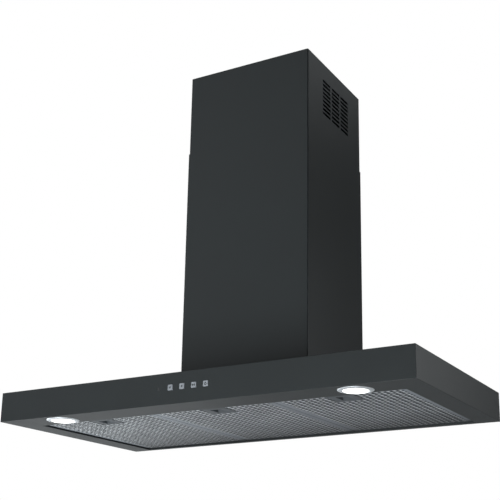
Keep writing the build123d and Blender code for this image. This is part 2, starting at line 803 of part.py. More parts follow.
def lamp_bezel(lamp_side):
    """Sloping ring on the underside with a short tube up through the panel."""
    centre_x = lamp_side * lamp_x
    slope = bezel_thickness - bezel_rim
    with BuildPart() as bezel:
        upright_cylinder(centre_x, lamp_y, (-bezel_rim, 0), lamp_radius)
        with Locations((centre_x, lamp_y, -bezel_rim - slope / 2)):
            Cone(bezel_face, lamp_radius, slope)
        upright_cylinder(centre_x, lamp_y, (0, bezel_tube_top), bezel_tube)
        whole = (-2 * bezel_thickness, bezel_tube_top + sheet)
        upright_cylinder(centre_x, lamp_y, whole, bezel_bore, Mode.SUBTRACT)
    return bezel


def lamp_lens(lamp_side):
    """Frosted disc inside the bezel."""
    with BuildPart() as lens:
        upright_cylinder(lamp_side * lamp_x, lamp_y, lens_z, lens_radius)
        fillet(lens.edges().filter_by(GeomType.CIRCLE).sort_by(Axis.Z)[0], lens_edge)
    return lens


def lamp_body(lamp_side):
    """Finned can that carries the light source above the lens."""
    centre_x = lamp_side * lamp_x
    with BuildPart() as body:
        upright_cylinder(centre_x, lamp_y, (lens_z[1], lamp_can_top), lens_radius)
        with BuildSketch(Plane.XY.offset(lamp_can_top)):
            with Locations((centre_x, lamp_y)):
                Circle(lamp_core_radius)
                with PolarLocations((lamp_core_radius + fin_reach) / 2, fin_count):
                    Rectangle(fin_reach - lamp_core_radius + fin_thickness, fin_thickness)
        extrude(amount=lamp_body_top - lamp_can_top)
    return body


for lamp_name, lamp_side in (("left", -1), ("right", 1)):
    bezel_piece = lamp_bezel(lamp_side)
    save(bezel_piece, f"{lamp_name}_lamp_bezel")
    lens_piece = lamp_lens(lamp_side)
    save(lens_piece, f"{lamp_name}_lamp_lens")
    body_piece = lamp_body(lamp_side)
    save(body_piece, f"{lamp_name}_lamp_body")

clip_half_width = 4.0
clip_sheet = 0.8
clip_foot = 46.0
clip_foot_length = 4.0
clip_knee = 5.0                 # height at which the clip bends outwards

# spring clips that press each bezel up against the panel
with BuildPart() as lamp_clips:
    for lamp_side in (-1, 1):
        for turn in (-1, 1):
            outline = [
                (bezel_tube, bezel_tube_top),
                (bezel_tube + clip_sheet, bezel_tube_top),
                (bezel_tube + clip_sheet, clip_knee),
                (clip_foot - clip_foot_length, sheet + clip_sheet),
                (clip_foot, sheet + clip_sheet),
                (clip_foot, sheet),
                (clip_foot - clip_foot_length, sheet),
                (bezel_tube, clip_knee - clip_sheet),
            ]
            with BuildSketch(Plane.XZ.offset(-lamp_y)):
                with BuildLine():
                    Polyline([(lamp_side * lamp_x + turn * u, v) for u, v in outline], close=True)
                make_face()
            extrude(amount=clip_half_width, both=True)
save(lamp_clips, "lamp_clips")

# ------------------------------------------------------------- electronics, wires

power_x = (-250.0, -130.0)
power_y = (-400.0, -330.0)
power_z = (43.0, canopy_height - sheet)
power_wall = 2.0
power_corner = 4.0

with BuildPart() as power_box:
    block(power_x, power_y, power_z)
    fillet(power_box.edges().filter_by(Axis.Z), power_corner)
    block(
        (power_x[0] + power_wall, power_x[1] - power_wall),
        (power_y[0] + power_wall, power_y[1] - power_wall),
        (power_z[0] + power_wall, power_z[1] + sheet),
        Mode.SUBTRACT,
    )
save(power_box, "power_box")

wire_radius = 2.5
wire_bend = 10.0
wire_z = 54.0
switch_wire_z = 47.5
lamp_wire_y = -385.0
switch_wire_y = -365.0
switch_wire_x = -10.0
switch_turn_y = -455.0
blower_wire_x = -108.0
blower_wire_z = 280.0
power_mid_x = (power_x[0] + power_x[1]) / 2
left_lamp_route = [
    (power_mid_x, power_y[0], wire_z),
    (power_mid_x, lamp_y, wire_z),
    (-lamp_x, lamp_y, wire_z),
    (-lamp_x, lamp_y, lamp_body_top),
]
right_lamp_route = [
    (power_x[1], lamp_wire_y, wire_z),
    (lamp_x, lamp_wire_y, wire_z),
    (lamp_x, lamp_y, wire_z),
    (lamp_x, lamp_y, lamp_body_top),
]
switch_route = [
    (power_x[1], switch_wire_y, switch_wire_z),
    (switch_wire_x, switch_wire_y, switch_wire_z),
    (switch_wire_x, switch_turn_y, button_z),
    (switch_wire_x, board_y[1], button_z),
]
blower_route = [
    (power_mid_x, power_y[1], wire_z),
    (power_mid_x, gland_y, wire_z),
    (blower_wire_x, gland_y, wire_z),
    (blower_wire_x, gland_y, blower_wire_z),
    (-box_half + sheet, gland_y, blower_wire_z),
]

# sheathed wires from the power box to the lamps, the switches and the terminal box
with BuildPart() as wiring_loom:
    for route in (left_lamp_route, right_lamp_route, switch_route, blower_route):
        with BuildLine() as path:
            FilletPolyline(*route, radius=wire_bend)
        with BuildSketch(Plane(origin=path.line @ 0, z_dir=path.line % 0)):
            Circle(wire_radius)
        sweep(path=path.line)
save(wiring_loom, "wiring_loom")

# --------------------------------------------------------------- grease filters

latch_half = 29.5
latch_rear = -352.0
latch_plate_thickness = 1.2
pocket_half = 13.0
pocket_front_y = -398.0
pocket_rear_y = -361.0
tray_wall = 1.0
bolt_z = 8.25
bolt_radius = 1.75
bolt_reach = 7.0                # under the canopy's rim, in front of the filter
bolt_tip = opening_front - bolt_reach
bolt_chamfer = 0.8
bolt_gap = 0.15                 # around the bolt in its holes
grip_gap = 0.5
grip_depth = 8.0
grip_front = pocket_front_y + grip_gap
grip_rear = grip_front + grip_depth
grip_half = 12.0
grip_z = (4.6, 10.45)
shoulder_radius = 2.55
shoulder_y = (-417.0, -416.0)
spring_wire_radius = 0.25
spring_radius = 2.25
spring_turns = 7
tab_half = 15.0
tab_offset = 80.0
hook_y = (filter_rear, -5.5)
hook_z = (4.8, 5.8)
pack_layers = [6.1, 7.9, 9.7]
pack_layer_thickness = 0.6
face_mesh_thickness = 0.8
cutout_gap = 0.5                # between the mesh and the latch plate
upper_flange = 8.0


def filter_frame(centre_x):
    """Aluminium channel frame with a hole for the latch bolt and two rear hooks."""
    half = filter_width / 2
    middle_y = (filter_front + filter_rear) / 2
    length = filter_rear - filter_front
    with BuildPart() as frame:
        block(
            (centre_x - half, centre_x + half),
            (filter_front, filter_rear),
            (filter_base, filter_top),
        )
        lower_edges = frame.edges().group_by(Axis.Z)[0]
        fillet(lower_edges, filter_sheet * 0.75)
        wide = filter_width - 2 * filter_sheet
        long = length - 2 * filter_sheet
        with BuildSketch(Plane.XY.offset(filter_inner_base)):
            with Locations((centre_x, middle_y)):
                Rectangle(wide, long)
        extrude(amount=filter_inner_top - filter_inner_base, mode=Mode.SUBTRACT)
        with BuildSketch(Plane.XY.offset(filter_base - sheet)):
            with Locations((centre_x, middle_y)):
                Rectangle(filter_width - 2 * filter_flange, length - 2 * filter_flange)
        extrude(amount=filter_thickness / 2, mode=Mode.SUBTRACT)
        with BuildSketch(Plane.XY.offset(filter_inner_top - sheet)):
            with Locations((centre_x, middle_y)):
                Rectangle(filter_width - 2 * upper_flange, length - 2 * upper_flange)
        extrude(amount=3 * sheet, mode=Mode.SUBTRACT)
        bolt_hole = (filter_front - sheet, filter_front + 2 * sheet)
        depth_cylinder(centre_x, bolt_hole, bolt_z, bolt_radius + bolt_gap, Mode.SUBTRACT)
        for side in (-1, 1):
            hook_x = centre_x + side * tab_offset
            block((hook_x - tab_half, hook_x + tab_half), hook_y, hook_z)
    return frame


def mesh_sheet(centre_x, heights, thickness):
    """Flat layers inside the frame, cut away around the latch."""
    half = filter_width / 2 - filter_sheet
    with BuildPart() as layers:
        for height in heights:
            layer_z = (height, height + thickness)
            layer_y = (filter_front + filter_sheet, filter_rear - filter_sheet)
            block((centre_x - half, centre_x + half), layer_y, layer_z)
        cut_x = (centre_x - latch_half - cutout_gap, centre_x + latch_half + cutout_gap)
        cut_y = (filter_front, latch_rear + cutout_gap)
        block(cut_x, cut_y, (filter_base, filter_top), Mode.SUBTRACT)
    return layers


def latch_plate(centre_x):
    """Plate with a finger pocket; a small tray closes the pocket above."""
    plate_y = (filter_front + filter_sheet, latch_rear)
    plate_z = (filter_inner_base, filter_inner_base + latch_plate_thickness)
    tray_x = (centre_x - pocket_half - tray_wall, centre_x + pocket_half + tray_wall)
    tray_y = (pocket_front_y - tray_wall, pocket_rear_y + tray_wall)
    pocket_x = (centre_x - pocket_half, centre_x + pocket_half)
    pocket_y = (pocket_front_y, pocket_rear_y)
    with BuildPart() as plate:
        block((centre_x - latch_half, centre_x + latch_half), plate_y, plate_z)
        block(tray_x, tray_y, (plate_z[0], filter_inner_top))
        block(pocket_x, pocket_y, (plate_z[0] - sheet, filter_inner_top - tray_wall), Mode.SUBTRACT)
        front_wall = (tray_y[0] - sheet, pocket_y[0] + sheet)
        depth_cylinder(centre_x, front_wall, bolt_z, bolt_radius + bolt_gap, Mode.SUBTRACT)
    return plate


def latch_bolt(centre_x):
    """Spring bolt with a finger grip in the pocket and a shoulder for the spring."""
    with BuildPart() as bolt:
        depth_cylinder(centre_x, (bolt_tip, grip_front + sheet), bolt_z, bolt_radius)
        tip = bolt.edges().filter_by(GeomType.CIRCLE).sort_by(Axis.Y)[0]
        chamfer(tip, bolt_chamfer)
        depth_cylinder(centre_x, shoulder_y, bolt_z, shoulder_radius)
        block((centre_x - grip_half, centre_x + grip_half), (grip_front, grip_rear), grip_z)
    return bolt


def latch_spring(centre_x):
    """Open coil around the bolt, between its shoulder and the tray."""
    start_y = shoulder_y[1] + 2 * spring_wire_radius
    end_y = pocket_front_y - tray_wall - 2 * spring_wire_radius
    length = end_y - start_y
    foot = (centre_x, start_y, bolt_z)
    with BuildPart() as spring:
        with BuildLine() as coil:
            Helix(length / spring_turns, length, spring_radius, center=foot, direction=(0, 1, 0))
        with BuildSketch(Plane(origin=coil.line @ 0, z_dir=coil.line % 0)):
            Circle(spring_wire_radius)
        sweep(path=coil.line)
    return spring


for filter_name, centre_x in zip(filter_names, filter_centres):
    frame_piece = filter_frame(centre_x)
    save(frame_piece, f"{filter_name}_filter_frame")
    face_piece = mesh_sheet(centre_x, [filter_inner_base], face_mesh_thickness)
    save(face_piece, f"{filter_name}_face_mesh")
    pack_piece = mesh_sheet(centre_x, pack_layers, pack_layer_thickness)
    save(pack_piece, f"{filter_name}_mesh_pack")
    plate_piece = latch_plate(centre_x)
    save(plate_piece, f"{filter_name}_latch_plate")
    bolt_piece = latch_bolt(centre_x)
    save(bolt_piece, f"{filter_name}_latch_bolt")
    spring_piece = latch_spring(centre_x)
    save(spring_piece, f"{filter_name}_latch_spring")
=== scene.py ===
from math import radians

import bpy
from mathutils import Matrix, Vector


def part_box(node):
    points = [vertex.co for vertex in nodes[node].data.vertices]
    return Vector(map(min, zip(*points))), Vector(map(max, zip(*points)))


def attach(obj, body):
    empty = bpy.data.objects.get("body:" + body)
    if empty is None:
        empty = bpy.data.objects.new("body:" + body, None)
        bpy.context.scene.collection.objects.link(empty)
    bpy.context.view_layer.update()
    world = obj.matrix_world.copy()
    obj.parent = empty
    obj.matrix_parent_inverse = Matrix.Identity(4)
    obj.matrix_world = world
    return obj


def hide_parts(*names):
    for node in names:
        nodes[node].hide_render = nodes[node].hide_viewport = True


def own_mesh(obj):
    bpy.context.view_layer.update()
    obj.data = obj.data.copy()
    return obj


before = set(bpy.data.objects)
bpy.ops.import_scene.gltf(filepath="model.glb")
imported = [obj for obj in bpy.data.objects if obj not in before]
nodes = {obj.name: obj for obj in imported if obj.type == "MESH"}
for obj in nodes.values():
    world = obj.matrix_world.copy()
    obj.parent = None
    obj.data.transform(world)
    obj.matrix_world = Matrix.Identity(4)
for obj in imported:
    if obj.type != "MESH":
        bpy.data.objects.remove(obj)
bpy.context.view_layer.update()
mm = 0.001
print("frame loaded:", len(nodes), "nodes")

filterNames = ["left", "middle", "right"]
lampNames = ["left", "right"]
filterDepth = [corner.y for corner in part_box("left_filter_frame")]
noiseRange = (0.3, 0.7)         # nearly all of a noise's values lie between these
creaseAngle = radians(40)       # edges sharper than this stay sharp
weldMm = 0.002                  # points closer than this become one


# ---- materials

def linearColour(hexCode):
    channels = [int(hexCode[i:i + 2], 16) / 255 for i in (0, 2, 4)]
    return [c / 12.92 if c <= 0.04045 else ((c + 0.055) / 1.055) ** 2.4 for c in channels] + [1]


def addNode(tree, kind, settings=None, links=None, **choices):
    node = tree.nodes.new("ShaderNode" + kind)
    for name, choice in choices.items():
        setattr(node, name, choice)
    for socket, value in (settings or {}).items():
        node.inputs[socket].default_value = value
    for socket, source in (links or {}).items():
        tree.links.new(source, node.inputs[socket])
    return node


def startMaterial(name):
    material = bpy.data.materials.new(name)
    material.use_nodes = True
    material.node_tree.nodes.clear()
    return material, material.node_tree


def closeMaterial(material, shader):
    tree = material.node_tree
    addNode(tree, "OutputMaterial", links={"Surface": shader.outputs[0]})
    return material


def objectPlace(tree):
    return addNode(tree, "TexCoord").outputs["Object"]


def noiseAt(tree, place, sizeMm, detail):
    noise = addNode(tree, "TexNoise", {"Scale": 1 / (sizeMm * mm), "Detail": detail}, {"Vector": place})
    return noise.outputs["Fac"]


def mapped(tree, value, source, target=(0, 1)):
    settings = {"From Min": source[0], "From Max": source[1], "To Min": target[0], "To Max": target[1]}
    return addNode(tree, "MapRange", settings, {"Value": value}).outputs[0]


# a colour ramp from places and colours, in rising order
def colourRamp(tree, factor, stops):
    ramp = addNode(tree, "ValToRGB", links={"Fac": factor})
    elements = ramp.color_ramp.elements
    while len(elements) < len(stops):
        elements.new(0.5)
    for element, (position, colour) in zip(elements, stops):
        element.position = position
        element.color = colour
    return ramp.outputs[0]


def times(tree, first, second):
    return addNode(tree, "VectorMath", links={0: first, 1: second}, operation="MULTIPLY").outputs[0]


# painted shade that darkens the filters towards the wall, most at their rear ends
def paintedWallShade(tree, place, colour, stops):
    depth = addNode(tree, "SeparateXYZ", links={0: place})
    inkAndWallShade = mapped(tree, depth.outputs["Y"], filterDepth)
    levels = [(position, (level, level, level, 1)) for position, level in stops]
    return times(tree, colour, colourRamp(tree, inkAndWallShade, levels))


# even grain, sized in millimetres, that varies colour and roughness and gives a slight bump
def grainyFinish(name, look):
    material, tree = startMaterial(name)
    place = straight = objectPlace(tree)
    if "stretch" in look:
        place = addNode(tree, "Mapping", {"Scale": look["stretch"]}, {"Vector": straight}).outputs[0]
    grain = noiseAt(tree, place, look["grainMm"], detail=3.0)
    patches = noiseAt(tree, place, look["patchMm"], detail=2.0)
    mix = addNode(tree, "Mix", {"Factor": look.get("patchShare", 0.5)}, {2: grain, 3: patches},
                  data_type="FLOAT").outputs[0]
    colour = colourRamp(tree, mix, [(noiseRange[0], linearColour(look["dark"])),
                                    (noiseRange[1], linearColour(look["light"]))])
    # where the look lists stops, painted shade darkens the colour towards the wall
    if "inkAndWallShade" in look:
        colour = paintedWallShade(tree, straight, colour, look["inkAndWallShade"])
    rough = mapped(tree, mix, noiseRange, look["rough"])
    bump = addNode(tree, "Bump", {"Strength": look["bump"], "Distance": look["reliefMm"] * mm},
                   {"Height": grain})
    shader = addNode(tree, "BsdfPrincipled", look.get("shader", {}),
                     {"Base Color": colour, "Roughness": rough, "Normal": bump.outputs[0]})
    return closeMaterial(material, shader)


# powder coat: polyester over steel, sprayed and baked; a matt black with a hint of blue green
# and the fine orange peel of the cured powder
paint = grainyFinish("powderCoatedSteel", {
    "grainMm": 1.2, "patchMm": 120, "patchShare": 0.35, "dark": "15191A", "light": "1B2021",
    "rough": (0.44, 0.52), "bump": 0.12, "reliefMm": 0.05,
    "shader": {"IOR": 1.5, "Specular IOR Level": 0.4}})


# hot-dip galvanised sheet: grey zinc with crystals about 8 mm across
def galvanisedSheet():
    look = {"spangleMm": 8.0, "dark": "8F9496", "light": "B4B9BA", "rough": (0.34, 0.5)}
    material, tree = startMaterial("galvanisedSheet")
    cells = addNode(tree, "TexVoronoi", {"Scale": 1 / (look["spangleMm"] * mm), "Randomness": 1.0},
                    {"Vector": objectPlace(tree)})
    grey = addNode(tree, "RGBToBW", links={"Color": cells.outputs["Color"]}).outputs[0]
    colour = colourRamp(tree, grey, [(0, linearColour(look["dark"])), (1, linearColour(look["light"]))])
    shader = addNode(tree, "BsdfPrincipled", {"Metallic": 0.85},
                     {"Base Color": colour, "Roughness": mapped(tree, grey, (0, 1), look["rough"])})
    return closeMaterial(material, shader)


galvanised = galvanisedSheet()

# zinc-plated steel of the screws: bright grey with a faint yellow cast
zincPlate = grainyFinish("zincPlatedSteel", {
    "grainMm": 0.6, "patchMm": 4, "dark": "9B9A94", "light": "BDBCB4", "rough": (0.26, 0.4),
    "bump": 0.05, "reliefMm": 0.02, "shader": {"Metallic": 1.0}})

# ground steel of shaft and pins: fine turning marks around the axis read as a soft sheen
groundSteel = grainyFinish("groundSteel", {
    "grainMm": 0.5, "patchMm": 6, "dark": "A6A8AA", "light": "C6C8CA", "rough": (0.18, 0.28),
    "bump": 0.05, "reliefMm": 0.01, "stretch": (4, 1, 1), "shader": {"Metallic": 1.0}})

# blue-grey tempered spring steel, slightly oiled
springSteel = grainyFinish("springSteel", {
    "grainMm": 0.8, "patchMm": 5, "dark": "7C8086", "light": "A4A8AE", "rough": (0.25, 0.38),
    "bump": 0.05, "reliefMm": 0.02, "shader": {"Metallic": 1.0}})

# die-cast aluminium: dull skin with a sandy bloom
castAluminium = grainyFinish("castAluminium", {
    "grainMm": 0.7, "patchMm": 12, "dark": "8A8C8E", "light": "A9ABAD", "rough": (0.42, 0.56),
    "bump": 0.25, "reliefMm": 0.06, "shader": {"Metallic": 0.9}})

# rolled aluminium sheet of the filter frames: mill finish, drawn out along the depth
frameAluminium = grainyFinish("rolledAluminium", {
    "grainMm": 0.5, "patchMm": 30, "dark": "8E9399", "light": "A8ADB3", "rough": (0.46, 0.56),
    # painted shade: the frames darken towards the wall, nearly black on their rear flanges
    "inkAndWallShade": [(0.0, 1.0), (0.6, 0.85), (0.92, 0.55), (0.96, 0.1)],
    "bump": 0.06, "reliefMm": 0.02, "stretch": (1, 0.06, 1), "shader": {"Metallic": 1.0}})


# stamped aluminium mesh: a painted highlight brightens the crowns of the bumps, painted shade darkens the
# dips
def stampedMesh():
    look = {
        "heightMm": (3.9, 2.9),                         # of dips and crowns
        # painted light by height: painted shade in the dips rising to a painted highlight on the crowns
        "paintedLightTones": [(0, "4E5256"), (0.45, "DCE0E4"), (1, "FCFDFE")],  # from dip to crown
        # broad random patches, a little lighter and darker, painted to stand in for bands of reflection off
        # the slightly bowed sheets
        "patchMm": 110, "patchRange": (0.35, 0.65), "patchLevel": (0.85, 1.0),
        # painted shade that darkens the mesh towards the wall
        "inkAndWallShade": [(0.0, 1.0), (0.45, 0.92), (0.7, 0.7), (0.94, 0.42)],
        "grainMm": 1.5, "rough": (0.24, 0.38), "bump": 0.05, "reliefMm": 0.05,
    }
    material, tree = startMaterial("stampedAluminium")
    place = objectPlace(tree)
    height = addNode(tree, "SeparateXYZ", links={0: place}).outputs["Z"]
    crown = mapped(tree, height, [z * mm for z in look["heightMm"]])
    paintedLightTone = colourRamp(tree, crown, [(position, linearColour(code)) for position, code in look["paintedLightTones"]])
    patches = noiseAt(tree, place, look["patchMm"], detail=2.0)
    level = mapped(tree, patches, look["patchRange"], look["patchLevel"])
    shaded = paintedWallShade(tree, place, times(tree, paintedLightTone, level), look["inkAndWallShade"])
    grain = noiseAt(tree, place, look["grainMm"], detail=3.0)
    bump = addNode(tree, "Bump", {"Strength": look["bump"], "Distance": look["reliefMm"] * mm},
                   {"Height": grain})
    shader = addNode(tree, "BsdfPrincipled", {"Metallic": 0.82},
                     {"Base Color": shaded, "Roughness": mapped(tree, grain, noiseRange, look["rough"]),
                      "Normal": bump.outputs[0]})
    return closeMaterial(material, shader)


meshAluminium = stampedMesh()


# the layers behind: fine knitted mesh with strands about 2.2 mm apart; painted shade makes the strands dark
# grey and the gaps between them near black
def knittedMesh():
    look = {"meshMm": 2.2, "uneven": 0.25, "paintedLightTones": [(0.1, "3E4246"), (0.24, "08090A")],
            "bump": 0.5, "reliefMm": 0.3}
    material, tree = startMaterial("knittedAluminium")
    holes = addNode(tree, "TexVoronoi", {"Scale": 1 / (look["meshMm"] * mm), "Randomness": look["uneven"]},
                    {"Vector": objectPlace(tree)}, feature="DISTANCE_TO_EDGE").outputs["Distance"]
    paintedLightTone = colourRamp(tree, holes, [(position, linearColour(code)) for position, code in look["paintedLightTones"]])
    bump = addNode(tree, "Bump", {"Strength": look["bump"], "Distance": look["reliefMm"] * mm},
                   {"Height": holes}, invert=True)
    shader = addNode(tree, "BsdfPrincipled", {"Metallic": 0.8, "Roughness": 0.45},
                     {"Base Color": paintedLightTone, "Normal": bump.outputs[0]})
    return closeMaterial(material, shader)


shadedPackMesh = knittedMesh()

# grey ABS of the latch plates: moulded with a fine spark-eroded grain
greyAbs = grainyFinish("mouldedGreyAbs", {
    "grainMm": 0.6, "patchMm": 25, "dark": "3A3E41", "light": "464A4E", "rough": (0.46, 0.54),
    "bump": 0.1, "reliefMm": 0.04, "shader": {"IOR": 1.53, "Specular IOR Level": 0.35}})

# black nylon of the latch slides: smooth and a little waxy
blackNylon = grainyFinish("blackNylon", {
    "grainMm": 0.6, "patchMm": 10, "dark": "17191A", "light": "212425", "rough": (0.4, 0.52),
    "bump": 0.06, "reliefMm": 0.03, "shader": {"IOR": 1.53}})

# black polypropylene of casings, deflector and boxes: fine grained, slightly greasy sheen
blackPlastic = grainyFinish("blackPolypropylene", {
    "grainMm": 0.9, "patchMm": 40, "dark": "1B1D1E", "light": "26292A", "rough": (0.46, 0.58),
    "bump": 0.15, "reliefMm": 0.05, "shader": {"IOR": 1.49}})

# light grey polypropylene of fan wheel, gland and capacitor
greyPlastic = grainyFinish("greyPolypropylene", {
    "grainMm": 0.9, "patchMm": 40, "dark": "84888A", "light": "93979A", "rough": (0.44, 0.56),
    "bump": 0.12, "reliefMm": 0.05, "shader": {"IOR": 1.49}})

# silver lacquer on the ABS button caps: fine flake under a satin coat
silverLacquer = grainyFinish("silverLacqueredAbs", {
    "grainMm": 0.35, "patchMm": 6, "dark": "82868B", "light": "94989D", "rough": (0.36, 0.44),
    "bump": 0.04, "reliefMm": 0.02, "shader": {"Metallic": 0.45, "IOR": 1.5}})

# pad-printed ink: a dull charcoal film
printInk = grainyFinish("padPrintedInk", {
    "grainMm": 0.4, "patchMm": 2, "dark": "2A2C2E", "light": "35383A", "rough": (0.55, 0.65),
    "bump": 0.05, "reliefMm": 0.01})

# satin nickel plate of the lamp rings: an even, soft sheen
satinNickel = grainyFinish("satinNickelPlate", {
    "grainMm": 0.4, "patchMm": 8, "dark": "CDD0D3", "light": "DCDFE2", "rough": (0.46, 0.54),
    "bump": 0.04, "reliefMm": 0.01, "shader": {"Metallic": 1.0}})

# smoked acrylic of the indicator
smokedAcrylic = grainyFinish("smokedAcrylic", {
    "grainMm": 0.5, "patchMm": 4, "dark": "0B0C0D", "light": "141617", "rough": (0.08, 0.16),
    "bump": 0.02, "reliefMm": 0.01, "shader": {"IOR": 1.49, "Coat Weight": 0.5}})

# green solder mask over copper: glossy, slightly mottled by the tracks below
solderMask = grainyFinish("solderMaskBoard", {
    "grainMm": 1.5, "patchMm": 6, "patchShare": 0.7, "dark": "12472B", "light": "1D6A3E",
    "rough": (0.22, 0.34), "bump": 0.1, "reliefMm": 0.05, "shader": {"IOR": 1.55}})

# grey PVC sheath of the wires: soft, half matt
pvcSheath = grainyFinish("pvcSheath", {
    "grainMm": 0.8, "patchMm": 20, "dark": "6D7073", "light": "7C7F82", "rough": (0.4, 0.5),
    "bump": 0.05, "reliefMm": 0.03, "shader": {"IOR": 1.54}})


# opal polycarbonate over the light source: white, lit evenly with a faint cloud in it
def opalLens():
    look = {"glass": "F4F5F2", "light": "FFFDF8", "cloudMm": 6, "glow": (1.504, 1.696)}
    material, tree = startMaterial("opalPolycarbonate")
    cloud = noiseAt(tree, objectPlace(tree), look["cloudMm"], detail=2.0)
    shader = addNode(tree, "BsdfPrincipled",
                     {"Base Color": linearColour(look["glass"]), "Roughness": 0.4, "IOR": 1.58,
                      "Emission Color": linearColour(look["light"])},
                     {"Emission Strength": mapped(tree, cloud, (0, 1), look["glow"])})
    return closeMaterial(material, shader)


opal = opalLens()

finishes = {
    "canopy_shell": paint, "back_panel": paint, "lower_chimney_cover": paint,
    "upper_chimney_cover": paint, "ceiling_bracket": galvanised, "blower_box": galvanised,
    "motor_bracket": galvanised, "air_deflector": blackPlastic, "deflector_spigot": blackPlastic,
    "outlet_collar": blackPlastic, "left_fan_casing": blackPlastic,
    "right_fan_casing": blackPlastic, "left_damper_flap": blackPlastic,
    "right_damper_flap": blackPlastic, "terminal_box": blackPlastic, "power_box": blackPlastic,
    "switch_housing": blackPlastic, "impeller": greyPlastic, "capacitor": greyPlastic,
    "cable_gland": greyPlastic, "motor": castAluminium, "motor_shaft": groundSteel,
    "damper_pins": groundSteel, "impeller_nut": zincPlate, "bracket_screws": zincPlate,
    "box_screws": zincPlate, "chimney_screws": zincPlate, "collar_screws": zincPlate,
    "lamp_clips": springSteel, "wiring_loom": pvcSheath, "switch_board": solderMask,
    "indicator_lens": smokedAcrylic,
}
for side in lampNames:
    finishes[side + "_lamp_bezel"] = satinNickel
    finishes[side + "_lamp_lens"] = opal
    finishes[side + "_lamp_body"] = castAluminium
for button in ("stop", "low_speed", "high_speed", "light"):
    finishes[button + "_button"] = silverLacquer
for side in filterNames:
    finishes[side + "_filter_frame"] = frameAluminium
    finishes[side + "_face_mesh"] = meshAluminium
    finishes[side + "_mesh_pack"] = shadedPackMesh
    finishes[side + "_latch_plate"] = greyAbs
    finishes[side + "_latch_bolt"] = blackNylon
    finishes[side + "_latch_spring"] = springSteel


def dress(piece, material):
    piece.data.materials.clear()
    piece.data.materials.append(material)


for name, node in nodes.items():
    dress(node, finishes[name])
print("frame dressed:", len(finishes), "nodes")


# ---- modelling helpers

def deselectAll():
    if bpy.context.object and bpy.context.object.mode != "OBJECT":
        bpy.ops.object.mode_set(mode="OBJECT")
    bpy.ops.object.select_all(action="DESELECT")


def editFresh(name):
    piece = bpy.context.object
    piece.name = name
    piece.data.name = name
    bpy.ops.object.transform_apply(location=True, rotation=True, scale=True)
    bpy.ops.object.mode_set(mode="EDIT")
    return piece


# selects only the vertices, edges or faces whose middle passes the test
def choose(piece, kind, test):
    bpy.ops.mesh.select_mode(type=kind)
    bpy.ops.mesh.select_all(action="DESELECT")
    bpy.ops.object.mode_set(mode="OBJECT")
    mesh = piece.data
    if kind == "VERT":
        for vertex in mesh.vertices:
            vertex.select = test(vertex.co)
    elif kind == "EDGE":
        for edge in mesh.edges:
            a, b = (mesh.vertices[i].co for i in edge.vertices)
            edge.select = test((a + b) / 2, a - b)
    else:
        for face in mesh.polygons:
            face.select = test(face.center, face.normal)
    bpy.ops.object.mode_set(mode="EDIT")


# cuts the whole mesh along a plane, and may drop the side that the normal points to
def cutAlong(point, normal, drop=False):
    bpy.ops.mesh.select_all(action="SELECT")
    bpy.ops.mesh.bisect(plane_co=point, plane_no=normal, clear_outer=drop)


# the same along the four sides of an upright box
def cutAround(left, right, front, back, drop=False):
    for point, normal in (((left, 0, 0), (-1, 0, 0)), ((right, 0, 0), (1, 0, 0)),
                          ((0, front, 0), (0, -1, 0)), ((0, back, 0), (0, 1, 0))):
        cutAlong(point, normal, drop)


def turnOutward():
    bpy.ops.mesh.select_all(action="SELECT")
    bpy.ops.mesh.normals_make_consistent(inside=False)
    bpy.ops.object.mode_set(mode="OBJECT")


def joinParts(parts):
    for part in parts:
        part.select_set(True)
    bpy.context.view_layer.objects.active = parts[0]
    if len(parts) > 1:
        bpy.ops.object.join()
    return bpy.context.object


def applyModifier(piece, kind, **choices):
    modifier = piece.modifiers.new(kind.lower(), kind)
    for name, choice in choices.items():
        setattr(modifier, name, choice)
    bpy.ops.object.modifier_apply(modifier=modifier.name)


def finishPiece(piece, body, material, replaced=()):
    if piece.mode != "OBJECT":
        bpy.ops.object.mode_set(mode="OBJECT")
    dress(piece, material)
    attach(piece, body)
    if replaced:
        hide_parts(*replaced)


# ---- stamped face mesh: a rectangular net of convex strands, one for each filter

faceNet = {
    "pitchX": 12.95, "pitchY": 15.0,    # mm between openings
    "openX": 9.2, "openY": 12.2,        # one opening
    "cornerX": 0.6, "cornerY": 0.72,    # its corners, drawn in to this share
    "crossing": 1.8, "besideX": 0.8, "besideY": 0.3,    # bulge at a crossing and beside it
    "thick": 0.4, "baseZ": 4.3,
    "tucked": 11.8, "tuckedZ": 4.75,    # its edge lies flat above the frame's flange
    "gap": 0.4,                         # round the latch plate
    "near": 0.1, "edgeShare": 0.98, "merge": 0.05, "hair": 0.01,    # tolerances of the selections
}


